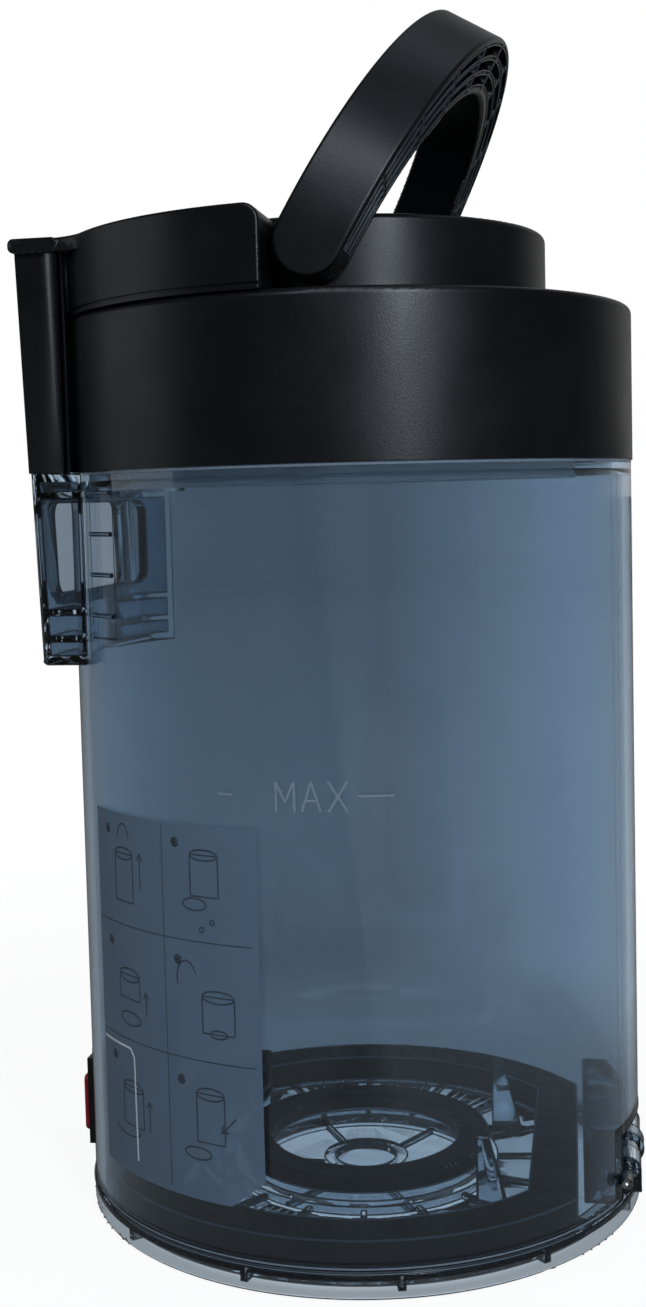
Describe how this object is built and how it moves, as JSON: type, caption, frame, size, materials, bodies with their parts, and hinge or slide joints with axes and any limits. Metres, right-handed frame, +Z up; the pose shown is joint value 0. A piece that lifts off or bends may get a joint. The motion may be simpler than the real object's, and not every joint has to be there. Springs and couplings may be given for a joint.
{
  "type": "cyclone dust bin",
  "caption": "Clear round dust bin with a folding handle, a black collar with dock face and ports, and a hinged bottom lid held by a push latch.",
  "frame": {"origin": "on the bin's axis, in the plane that the bottom lid stands on", "axes": "+Z up along the bin, +X towards the lid's hinge, -X towards the dock face"},
  "size_m": [0.1557, 0.15, 0.3122],
  "materials": {
    "smoky_clear": "smoky blue-grey clear, polished",
    "black_plastic": "black moulded plastic, satin",
    "dark_plastic": "dark grey moulded plastic, satin",
    "grey_plastic": "grey moulded plastic, fine matt",
    "black_rubber": "black soft rubber",
    "red_plastic": "red moulded plastic, semi-gloss",
    "steel": "bright steel wire and pins",
    "foam": "open-cell dark foam",
    "filter_paper": "white pleated filter paper",
    "label_film": "translucent grey printed film"
  },
  "bodies": {
    "bin": {"bin_shell": "smoky_clear", "collar": "black_plastic", "hub_cover": "black_plastic", "dock_housing": "black_plastic", "collar_seal": "black_rubber", "inlet_gasket": "black_rubber", "outlet_gasket": "black_rubber", "filter_carrier": "grey_plastic", "filter_frame": "grey_plastic", "mesh_screen": "steel", "foam_filter": "foam", "pleated_filter": "filter_paper", "handle_pin_near": "steel", "handle_pin_far": "steel", "hinge_pin": "steel", "latch_pin": "steel", "latch_spring": "steel", "cover_screws": "steel", "instruction_label": "label_film"},
    "handle": {"handle": "black_plastic"},
    "lid": {"bottom_lid": "smoky_clear", "lid_seal": "black_rubber", "ring_gasket": "black_rubber"},
    "latch": {"latch_lever": "dark_plastic", "release_button": "red_plastic"}
  },
  "joints": [
    {"name": "handle_swing", "type": "hinge", "parent": "bin", "child": "handle", "pos_m": [0.002, 0, 0.2472], "axis": [0, 1, 0], "range_deg": [-30, 60]},
    {"name": "lid_swing", "type": "hinge", "parent": "bin", "child": "lid", "pos_m": [0.0715, 0, 0.012], "axis": [0, -1, 0], "range_deg": [0, 90]},
    {"name": "latch_press", "type": "hinge", "parent": "bin", "child": "latch", "pos_m": [-0.07, 0, 0.022], "axis": [0, 1, 0], "range_deg": [0, 5], "stiffness_Nm_per_rad": 0.3, "deforming": ["latch_spring"]}
  ]
}
